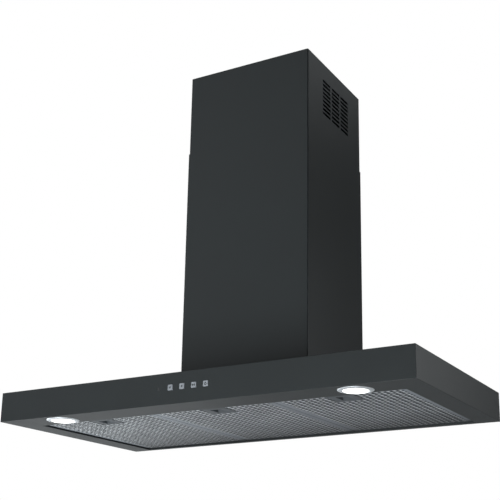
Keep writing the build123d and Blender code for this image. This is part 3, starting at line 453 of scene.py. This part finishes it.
def faceNetPiece(side):
    look = faceNet
    low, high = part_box(side + "_face_mesh")
    centreX = (low.x + high.x) / 2
    stepX, stepY = look["pitchX"] * mm, look["pitchY"] * mm
    columns = int((high.x - low.x) / stepX) + 2
    rows = int((high.y - low.y) / stepY) + 2
    deselectAll()
    bpy.ops.mesh.primitive_plane_add(size=1)
    bpy.context.object.scale = (stepX, stepY, 1)
    cell = editFresh(side + "FaceNet")
    openX, openY = look["openX"] * mm / 2, look["openY"] * mm / 2
    for normal, halfWidth in (((1, 0, 0), openX), ((0, 1, 0), openY)):
        for share in (-1, 0, 1):
            cutAlong(Vector(normal) * halfWidth * share, normal)
    choose(cell, "FACE", lambda c, n: abs(c.x) < openX and abs(c.y) < openY)
    bpy.ops.mesh.delete(type="FACE")
    edgeX, edgeY = (step / 2 * look["edgeShare"] for step in (stepX, stepY))
    near = look["near"] * mm
    bulges = (
        (look["crossing"], lambda c: abs(c.x) > edgeX and abs(c.y) > edgeY),
        (look["besideX"], lambda c: near < abs(c.x) < edgeX and abs(c.y) > edgeY),
        (look["besideY"], lambda c: abs(c.x) > edgeX and near < abs(c.y) < edgeY),
    )
    for depth, place in bulges:
        choose(cell, "VERT", place)
        bpy.ops.transform.translate(value=(0, 0, -depth * mm))
    choose(cell, "VERT", lambda c: abs(abs(c.x) - openX) < near and abs(abs(c.y) - openY) < near)
    bpy.ops.transform.resize(value=(look["cornerX"], look["cornerY"], 1), center_override=(0, 0, 0))
    bpy.ops.object.mode_set(mode="OBJECT")
    startX = centreX - (columns - 1) / 2 * stepX
    bpy.ops.transform.translate(value=(startX, low.y + stepY / 2, look["baseZ"] * mm))
    bpy.ops.object.transform_apply(location=True, rotation=True, scale=True)
    for count, step in ((columns, (stepX, 0, 0)), (rows, (0, stepY, 0))):
        applyModifier(cell, "ARRAY", count=count, use_relative_offset=False, use_constant_offset=True,
                      constant_offset_displace=step, use_merge_vertices=True,
                      merge_threshold=look["merge"] * mm)
    trimNet(cell, side, low, high)
    applyModifier(cell, "SOLIDIFY", thickness=look["thick"] * mm, offset=-1)
    bpy.ops.object.shade_smooth()
    finishPiece(cell, side + "_filter", meshAluminium, [side + "_face_mesh"])


# cuts the net to the frame and leaves out the latch plate's place
def trimNet(net, side, low, high):
    plateLow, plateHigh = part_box(side + "_latch_plate")
    gap = faceNet["gap"] * mm
    bpy.ops.object.mode_set(mode="EDIT")
    cutAround(low.x, high.x, low.y, high.y, drop=True)
    left, right, back = plateLow.x - gap, plateHigh.x + gap, plateHigh.y + gap
    for point, normal in (((left, 0, 0), (1, 0, 0)), ((right, 0, 0), (1, 0, 0)), ((0, back, 0), (0, 1, 0))):
        cutAlong(point, normal)
    choose(net, "FACE", lambda c, n: left < c.x < right and c.y < back)
    bpy.ops.mesh.delete(type="FACE")
    tuckNet(net, low, high)
    bpy.ops.object.mode_set(mode="OBJECT")


# flattens the rim of the net where it lies behind the flange of the frame
def tuckNet(net, low, high):
    tucked, flatZ = faceNet["tucked"] * mm, faceNet["tuckedZ"] * mm
    left, right = low.x + tucked, high.x - tucked
    front, back = low.y + tucked, high.y - tucked
    cutAround(left, right, front, back)
    hair = faceNet["hair"] * mm
    choose(net, "VERT", lambda c: not (left + hair < c.x < right - hair
                                       and front + hair < c.y < back - hair))
    bpy.ops.transform.resize(value=(1, 1, 0), center_override=(0, 0, flatZ))


for side in filterNames:
    faceNetPiece(side)
print("face nets made")


# ---- pieces drawn out of a ring of edges, along a profile of half width and place on the axis

def drawnPiece(piece, centre, axis, profile, closed=True):
    axis = Vector(axis)
    half, place = profile[0]
    bpy.ops.mesh.select_all(action="SELECT")
    steps = profile[1:] + ([profile[0]] if closed else [])
    for nextHalf, nextPlace in steps:
        bpy.ops.mesh.extrude_edges_move(TRANSFORM_OT_translate={"value": axis * (nextPlace - place)})
        factor = nextHalf / half
        if nextHalf != half:
            bpy.ops.transform.resize(value=[1 if along else factor for along in axis],
                                     center_override=Vector(centre) + axis * nextPlace)
        half, place = nextHalf, nextPlace
    if not closed:
        bpy.ops.mesh.edge_face_add()
    bpy.ops.mesh.select_all(action="SELECT")
    bpy.ops.mesh.remove_doubles(threshold=weldMm * mm)
    if not closed:
        bpy.ops.mesh.fill_holes(sides=0)
    turnOutward()
    bpy.ops.object.shade_smooth_by_angle(angle=creaseAngle)


def ringPiece(name, centre, turn, profile, axis, closed=True, sides=64):
    deselectAll()
    firstHalf, firstPlace = profile[0]
    start = Vector(centre) + Vector(axis) * firstPlace
    bpy.ops.mesh.primitive_circle_add(vertices=sides, radius=firstHalf, location=start, rotation=turn,
                                      fill_type="NOTHING")
    piece = editFresh(name)
    drawnPiece(piece, centre, axis, profile, closed)
    return piece


def inMetres(profile):
    return [(half * mm, place * mm) for half, place in profile]


lampLook = {
    # radius and height in mm: up the bore, a lip and a groove, and the sloping rim outside
    "ring": [(25.8, 12.0), (25.8, -1.8), (26.1, -2.15), (26.7, -2.25), (27.1, -2.0), (27.3, -1.5),
             (27.8, -1.5), (28.0, -2.0), (28.5, -2.38), (29.4, -2.36), (33.0, -1.6), (35.3, -0.84),
             (35.85, -0.55), (36.0, -0.3), (36.0, -0.02), (30.0, -0.02), (30.0, 12.0)],
    "disc": [(25.6, 1.6), (25.6, -1.8), (25.3, -2.25), (24.6, -2.55), (20.0, -2.85), (13.5, -3.05),
             (7.0, -3.15), (2.0, -3.18)],
}


def lampPieces(side):
    low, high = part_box(side + "_lamp_bezel")
    centre = ((low.x + high.x) / 2, (low.y + high.y) / 2, 0)
    up, level = (0, 0, 1), (0, 0, 0)
    ring = ringPiece(side + "LampRing", centre, level, inMetres(lampLook["ring"]), up)
    finishPiece(ring, "hood", satinNickel, [side + "_lamp_bezel"])
    disc = ringPiece(side + "LampDisc", centre, level, inMetres(lampLook["disc"]), up, closed=False)
    finishPiece(disc, "hood", opal, [side + "_lamp_lens"])


for side in lampNames:
    lampPieces(side)
print("lamps made")


# ---- push buttons: softly rimmed, slightly dished caps with a printed sign

buttonLook = {
    "start": 3.0, "corner": 0.7,
    # half width and distance from the front panel in mm: stem, collar behind the panel, cap, dish
    "profile": [(3.0, 3.0), (6.0, 3.0), (6.0, 2.1), (7.2, 2.1), (7.2, 1.1), (6.0, 1.1), (6.0, -0.7),
                (5.92, -0.95), (5.72, -1.13), (5.45, -1.2), (5.0, -1.19), (3.8, -1.14), (2.4, -1.11),
                (1.2, -1.1)],
    "inkAndWallShade": (-1.04, -1.2),      # back and front of the printed signs
    "filmSoft": 0.05, "filmEdge": 60,       # the film thins out at edges sharper than this
    "discSides": 24, "ringSides": 32,
}
signs = {   # discs as middle and size in mm, seen from the front
    "low_speed": [((0, 0), (3.9, 4.3))],
    "high_speed": [((-2.2, 0), (3.9, 4.3)), ((2.2, 0), (3.9, 4.3))],
    "stop": [], "light": [((0, 2.1), (2.6, 2.2))],
}
# open rings: middle, and half width and half height outside and inside
openSigns = {
    "stop": ((0, 0), (2.7, 2.3), (1.25, 0.95)),
    "light": ((0, -0.9), (3.1, 2.5), (1.7, 1.2)),
}


def buttonPiece(name):
    look = buttonLook
    low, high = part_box(name + "_button")
    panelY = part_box("canopy_shell")[0].y
    middle = Vector(((low.x + high.x) / 2, panelY, (low.z + high.z) / 2))
    stemY = (high.y - panelY) / mm
    deselectAll()
    bpy.ops.mesh.primitive_plane_add(size=2 * look["start"] * mm, location=(middle.x, high.y, middle.z),
                                     rotation=(radians(90), 0, 0))
    cap = editFresh(name + "Cap")
    bpy.ops.mesh.bevel(offset=look["corner"] * mm, segments=4, affect="VERTICES")
    bpy.ops.mesh.select_mode(type="EDGE")
    bpy.ops.mesh.select_all(action="SELECT")
    bpy.ops.mesh.delete(type="ONLY_FACE")
    profile = [(look["start"], stemY)] + look["profile"]
    drawnPiece(cap, middle, (0, 1, 0), inMetres(profile), closed=False)
    finishPiece(cap, name + "_button", silverLacquer, [name + "_button"])
    signPiece(name, middle)


def signPiece(name, middle):
    back, front = (middle.y + place * mm for place in buttonLook["inkAndWallShade"])
    deselectAll()
    made = []
    if name in openSigns:
        made.append(openRing(middle, back, front, *openSigns[name]))
    for (u, v), size in signs[name]:
        place = (middle.x + u * mm, (back + front) / 2, middle.z + v * mm)
        bpy.ops.mesh.primitive_cylinder_add(vertices=buttonLook["discSides"], radius=0.5, depth=1,
                                            location=place, rotation=(radians(90), 0, 0))
        disc = bpy.context.object
        disc.scale = (size[0] * mm, size[1] * mm, back - front)
        made.append(disc)
    joinParts(made)
    sign = editFresh(name + "Sign")
    bpy.ops.object.mode_set(mode="OBJECT")
    applyModifier(sign, "BEVEL", width=buttonLook["filmSoft"] * mm, segments=1, limit_method="ANGLE",
                  angle_limit=radians(buttonLook["filmEdge"]))
    finishPiece(sign, name + "_button", printInk)


def openRing(middle, back, front, shift, outer, inner):
    x, z = middle.x + shift[0] * mm, middle.z + shift[1] * mm
    bpy.ops.mesh.primitive_circle_add(vertices=buttonLook["ringSides"], radius=1, location=(x, back, z),
                                      rotation=(radians(90), 0, 0), fill_type="NOTHING")
    bpy.context.object.scale = (outer[0] * mm, outer[1] * mm, 1)
    ring = editFresh("openRing")
    narrow = (inner[0] / outer[0], 1, inner[1] / outer[1])
    wide = (outer[0] / inner[0], 1, outer[1] / inner[1])
    for factors, depth, place in ((narrow, 0, back), ((1, 1, 1), front - back, front),
                                  (wide, 0, front), ((1, 1, 1), back - front, back)):
        bpy.ops.mesh.extrude_edges_move(TRANSFORM_OT_translate={"value": (0, depth, 0)})
        bpy.ops.transform.resize(value=factors, center_override=(x, place, z))
    bpy.ops.mesh.select_all(action="SELECT")
    bpy.ops.mesh.remove_doubles(threshold=weldMm * mm)
    turnOutward()
    return ring


for name in ("stop", "low_speed", "high_speed", "light"):
    buttonPiece(name)
print("buttons made")


# ---- latch plates: a moulded plate with a deep finger pocket and grip ribs across its rear wall

latchLook = {
    "wall": 1.0, "soft": 0.6, "softEdge": 50,      # edges sharper than this many degrees are rounded
    # the rear wall slopes, and the roof stays clear of the slide's grip
    "pocketY": (-398.0, -361.0), "pocketHalf": 13.0, "pocketDeep": 6.4, "draft": (0.97, 0.78),
    "ribs": 4, "ribHalf": 11.0, "ribWide": 0.9, "ribSides": 12,
}


def latchPiece(side):
    look = latchLook
    low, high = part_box(side + "_latch_plate")
    centreX = (low.x + high.x) / 2
    front, back = (y * mm for y in look["pocketY"])
    half = look["pocketHalf"] * mm
    deselectAll()
    bpy.ops.mesh.primitive_plane_add(size=1, location=(centreX, (low.y + high.y) / 2, low.z))
    bpy.context.object.scale = (high.x - low.x, high.y - low.y, 1)
    plate = editFresh(side + "LatchCover")
    cutAround(centreX - half, centreX + half, front, back)
    choose(plate, "FACE", lambda c, n: abs(c.x - centreX) < half and front < c.y < back)
    bpy.ops.mesh.extrude_region_move(TRANSFORM_OT_translate={"value": (0, 0, look["pocketDeep"] * mm)})
    bpy.ops.transform.resize(value=(*look["draft"], 1), center_override=(centreX, front, 0))
    bpy.ops.object.mode_set(mode="OBJECT")
    applyModifier(plate, "SOLIDIFY", thickness=look["wall"] * mm, offset=-1)
    applyModifier(plate, "BEVEL", width=look["soft"] * mm, segments=3, limit_method="ANGLE",
                  angle_limit=radians(look["softEdge"]))
    parts = [plate]
    roof = low.z + look["pocketDeep"] * mm
    for i in range(look["ribs"]):
        height = low.z + (i + 1) * look["pocketDeep"] * mm / (look["ribs"] + 1)
        lean = (1 - look["draft"][1]) * (back - front) * (height - low.z) / (roof - low.z)
        bpy.ops.mesh.primitive_cylinder_add(vertices=look["ribSides"], radius=look["ribWide"] / 2 * mm,
                                            depth=2 * look["ribHalf"] * mm, rotation=(0, radians(90), 0),
                                            location=(centreX, back - lean, height))
        parts.append(bpy.context.object)
    joinParts(parts)
    bpy.ops.object.shade_smooth_by_angle(angle=creaseAngle)
    finishPiece(plate, side + "_filter", greyAbs, [side + "_latch_plate"])


for side in filterNames:
    latchPiece(side)
print("latch plates made")


# ---- latch springs: an open coil round each slide

coilLook = {
    "turns": 7, "wire": 0.5, "travel": 8.0,     # wire thickness and travel of the slide in mm
    "sides": 8, "steps": 20, "crease": 50,      # round the wire, and round one turn
}


def coilPiece(side):
    look = coilLook
    low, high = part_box(side + "_latch_spring")
    wire = look["wire"] / 2 * mm
    radius = (high.x - low.x) / 2 - wire
    length = high.y - low.y - 2 * wire
    middle = (low + high) / 2
    deselectAll()
    bpy.ops.mesh.primitive_circle_add(vertices=look["sides"], radius=wire, location=(radius, 0, 0),
                                      fill_type="NOTHING")
    coil = editFresh(side + "LatchCoil")
    bpy.ops.object.mode_set(mode="OBJECT")
    applyModifier(coil, "SCREW", axis="Y", angle=radians(360), iterations=look["turns"],
                  screw_offset=length / look["turns"], steps=look["steps"], render_steps=look["steps"])
    bpy.ops.transform.translate(value=(middle.x, low.y + wire, middle.z))
    bpy.ops.object.transform_apply(location=True, rotation=True, scale=True)
    bpy.ops.object.mode_set(mode="EDIT")
    bpy.ops.mesh.select_all(action="SELECT")
    bpy.ops.mesh.fill_holes(sides=0)
    turnOutward()
    bpy.ops.object.shade_smooth_by_angle(angle=radians(look["crease"]))
    finishPiece(coil, side + "_filter", springSteel, [side + "_latch_spring"])
    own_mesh(coil)


for side in filterNames:
    coilPiece(side)
print("latch springs made")


# ---- thin stepped ring round the indicator

indicatorRing = {
    # radius and distance from the front panel in mm
    "profile": [(2.35, 0.9), (2.35, -0.1), (2.55, -0.28), (2.8, -0.3), (3.05, -0.2), (3.3, -0.2),
                (3.5, -0.08), (3.5, 0.0), (2.9, 0.0), (2.9, 0.9)],
    "sides": 40,
}


def indicatorRingPiece():
    low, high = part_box("indicator_lens")
    middle = ((low.x + high.x) / 2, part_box("canopy_shell")[0].y, (low.z + high.z) / 2)
    ring = ringPiece("indicatorRing", middle, (radians(90), 0, 0), inMetres(indicatorRing["profile"]),
                     (0, 1, 0), sides=indicatorRing["sides"])
    finishPiece(ring, "hood", blackPlastic)


indicatorRingPiece()


# ---- screws: pan heads with a cross recess, modelled once and copied

screwLook = {
    "head": 3.8, "height": 2.2, "soft": 0.75,       # radius, height and rounding of the head in mm
    "shank": 2.0, "length": 6.6,
    "slot": 0.9, "reach": 2.3, "deep": 1.1,         # width, half length and depth of the cross
    "sides": 24, "crease": 35,
}


def screwPiece():
    look = screwLook
    deselectAll()
    top = look["height"] * mm
    bpy.ops.mesh.primitive_cylinder_add(vertices=look["sides"], radius=look["head"] * mm, depth=top,
                                        location=(0, 0, top / 2))
    screw = editFresh("panHeadScrew")
    choose(screw, "EDGE", lambda c, d: c.z > top - weldMm * mm)
    bpy.ops.mesh.bevel(offset=look["soft"] * mm, segments=4)
    choose(screw, "FACE", lambda c, n: c.z < weldMm * mm)
    bpy.ops.mesh.inset(thickness=(look["head"] - look["shank"]) * mm)
    bpy.ops.mesh.extrude_region_move(TRANSFORM_OT_translate={"value": (0, 0, -look["length"] * mm)})
    bpy.ops.object.mode_set(mode="OBJECT")
    long, wide, deep = 2 * look["reach"] * mm, look["slot"] * mm, 2 * look["deep"] * mm
    for scale in ((long, wide, deep), (wide, long, deep)):
        deselectAll()
        bpy.ops.mesh.primitive_cube_add(size=1, location=(0, 0, top), scale=scale)
        cutter = bpy.context.object
        deselectAll()
        screw.select_set(True)
        bpy.context.view_layer.objects.active = screw
        applyModifier(screw, "BOOLEAN", operation="DIFFERENCE", object=cutter, solver="EXACT")
        bpy.data.objects.remove(cutter)
    return screw


def screwGroup(name, nodeName, body, model, places, down=False):
    copies = []
    deselectAll()
    for place in places:
        copy = model.copy()
        copy.data = model.data.copy()
        bpy.context.scene.collection.objects.link(copy)
        copy.location = place
        if down:
            copy.rotation_euler = (radians(180), 0, 0)
        copies.append(copy)
    group = joinParts(copies)
    group.name = name
    bpy.ops.object.transform_apply(location=True, rotation=True, scale=True)
    bpy.ops.object.shade_smooth_by_angle(angle=radians(screwLook["crease"]))
    finishPiece(group, body, zincPlate, [nodeName])


# the corners of a node's box, brought in by one head radius, are its four screw places
def cornerPlaces(nodeName, height):
    low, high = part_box(nodeName)
    inset = screwLook["head"] * mm
    return [(x, y, height) for x in (low.x + inset, high.x - inset) for y in (low.y + inset, high.y - inset)]


screw = screwPiece()
head = screwLook["height"] * mm
screwGroup("boxScrewHeads", "box_screws", "hood", screw,
           cornerPlaces("box_screws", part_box("box_screws")[1].z - head))
screwGroup("chimneyScrewHeads", "chimney_screws", "hood", screw,
           cornerPlaces("chimney_screws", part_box("chimney_screws")[0].z + head), down=True)
screwGroup("collarScrewHeads", "collar_screws", "hood", screw,
           cornerPlaces("collar_screws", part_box("collar_screws")[1].z - head))
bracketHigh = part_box("bracket_screws")[1]
tabX, tabY = bracketHigh.x - screwLook["head"] * mm, bracketHigh.y - screwLook["head"] * mm
bracketPlaces = [(way * tabX, tabY, bracketHigh.z - head) for way in (-1, 1)]
# two more hold the deflector to the bracket's tongue
tongueX, tongueY, tongueZ = 25.0 * mm, -120.0 * mm, 841.5 * mm
bracketPlaces += [(way * tongueX, tongueY, tongueZ) for way in (-1, 1)]
screwGroup("bracketScrewHeads", "bracket_screws", "upper_chimney", screw, bracketPlaces)
bpy.data.objects.remove(screw)
print("screws made")


# ---- floor, light and camera

studio = {
    "floorZ": -1.5, "floorSize": 60.0, "floorColour": "F2F2F2",
    "floorShown": 0.82, "floorMirrored": 0.06,      # share of plain white seen directly and in gloss
    "roomGrey": 0.06,                   # plain level of the room all round
    "backdrop": (-0.46, 0.86, 0.22),    # way from the hood to the white backdrop
    "backdropEdge": (0.80, 0.92),       # cosines from that way at which the backdrop fades and is full
    "aim": (0, -0.25, 0.3),
    "lampColour": (0.93, 0.975, 1.0),   # a little cooler than white
}
# soft square lamps: place and side in metres, and power in watts
lamps = {
    "keyLeft": ((-2.5, -3.5, 2.5), 2.5, 23),
    "frontHigh": ((0, -3.5, 3), 2.5, 14),
    "sideLeft": ((-3.0, -3.0, 0.8), 2.0, 13),
    "rearLeft": ((-2.5, 2, 0.8), 1.5, 58),
    "rearTop": ((0.3, 1.5, 2.8), 2.0, 17),
    "nearRight": ((1.6, 0.6, 0.35), 0.8, 8),
    "nearLeft": ((-1.2, 0.8, -0.35), 0.8, 1),
    "lowFront": ((0.2, -2.5, -1.2), 1.5, 98),
    "lowLeft": ((-2.5, 0, -0.8), 1.5, 34),
}


# what the camera sees, directly or through clear parts
def seenDirectly(tree, seen):
    return addNode(tree, "Math", links={0: seen.outputs["Is Camera Ray"],
                                        1: seen.outputs["Is Transmission Ray"]},
                   operation="MAXIMUM").outputs[0]


def mixShader(tree, share, first, second):
    return addNode(tree, "MixShader", links={"Fac": share.outputs[0], 1: first.outputs[0],
                                             2: second.outputs[0]})


def makeFloor():
    deselectAll()
    bpy.ops.mesh.primitive_plane_add(size=studio["floorSize"], location=(0, 0, studio["floorZ"]))
    floor = bpy.context.object
    floor.name = "floor"
    material, tree = startMaterial("paleFloor")
    matt = addNode(tree, "BsdfDiffuse", {"Color": linearColour(studio["floorColour"])})
    pale = addNode(tree, "Emission", {"Color": linearColour(studio["floorColour"]), "Strength": 1.0})
    seen = addNode(tree, "LightPath")
    shown = addNode(tree, "Math", {1: studio["floorShown"]}, {0: seenDirectly(tree, seen)},
                    operation="MULTIPLY")
    mirrored = addNode(tree, "Math", {1: studio["floorMirrored"]}, {0: seen.outputs["Is Glossy Ray"]},
                       operation="MULTIPLY")
    share = addNode(tree, "Math", links={0: shown.outputs[0], 1: mirrored.outputs[0]},
                    operation="MAXIMUM")
    closeMaterial(material, mixShader(tree, share, matt, pale))
    dress(floor, material)


# the camera and clear parts see white all round, polished parts see it where the backdrop stands
def makeWorld():
    world = bpy.data.worlds.new("studio")
    bpy.context.scene.world = world
    world.use_nodes = True
    tree = world.node_tree
    tree.nodes.clear()
    seen = addNode(tree, "LightPath")
    way = addNode(tree, "TexCoord")
    towards = Vector(studio["backdrop"]).normalized()
    near = addNode(tree, "VectorMath", {1: towards}, {0: way.outputs["Generated"]},
                   operation="DOT_PRODUCT")
    cover = mapped(tree, near.outputs["Value"], studio["backdropEdge"])
    mirrored = addNode(tree, "Math", links={0: seen.outputs["Is Glossy Ray"], 1: cover},
                       operation="MULTIPLY")
    shown = addNode(tree, "Math", links={0: mirrored.outputs[0], 1: seenDirectly(tree, seen)},
                    operation="MAXIMUM")
    soft = addNode(tree, "Background", {"Color": (1, 1, 1, 1), "Strength": studio["roomGrey"]})
    white = addNode(tree, "Background", {"Color": (1, 1, 1, 1), "Strength": 1.0})
    addNode(tree, "OutputWorld", links={"Surface": mixShader(tree, shown, soft, white).outputs[0]})


def addLamp(name, place, side, power):
    light = bpy.data.lights.new(name, "AREA")
    light.shape = "SQUARE"
    light.size = side
    light.energy = power
    light.color = studio["lampColour"]
    lamp = bpy.data.objects.new(name, light)
    bpy.context.scene.collection.objects.link(lamp)
    lamp.location = place
    lamp.rotation_euler = (Vector(studio["aim"]) - Vector(place)).to_track_quat("-Z", "Y").to_euler()
    lamp.visible_camera = False


makeFloor()
makeWorld()
for name, (place, side, power) in lamps.items():
    addLamp(name, place, side, power)

# solved from the straight edges of the photograph: place in metres, turn in degrees, lens and sensor
# in millimetres, shift in shares of the picture's width
camera = {"place": (1.1703, -2.2216, -0.4060), "turn": (105.987, -0.034, 27.269), "lens": 74.278,
          "shift": (-0.1226, 0.1300), "sensor": 36.0}
view = bpy.data.cameras.new("view")
view.sensor_width = camera["sensor"]
view.lens = camera["lens"]
view.shift_x, view.shift_y = camera["shift"]
viewer = bpy.data.objects.new("viewer", view)
bpy.context.scene.collection.objects.link(viewer)
viewer.location = camera["place"]
viewer.rotation_euler = [radians(a) for a in camera["turn"]]
bpy.context.scene.camera = viewer
bpy.context.scene.view_settings.view_transform = "Standard"
print("studio set")
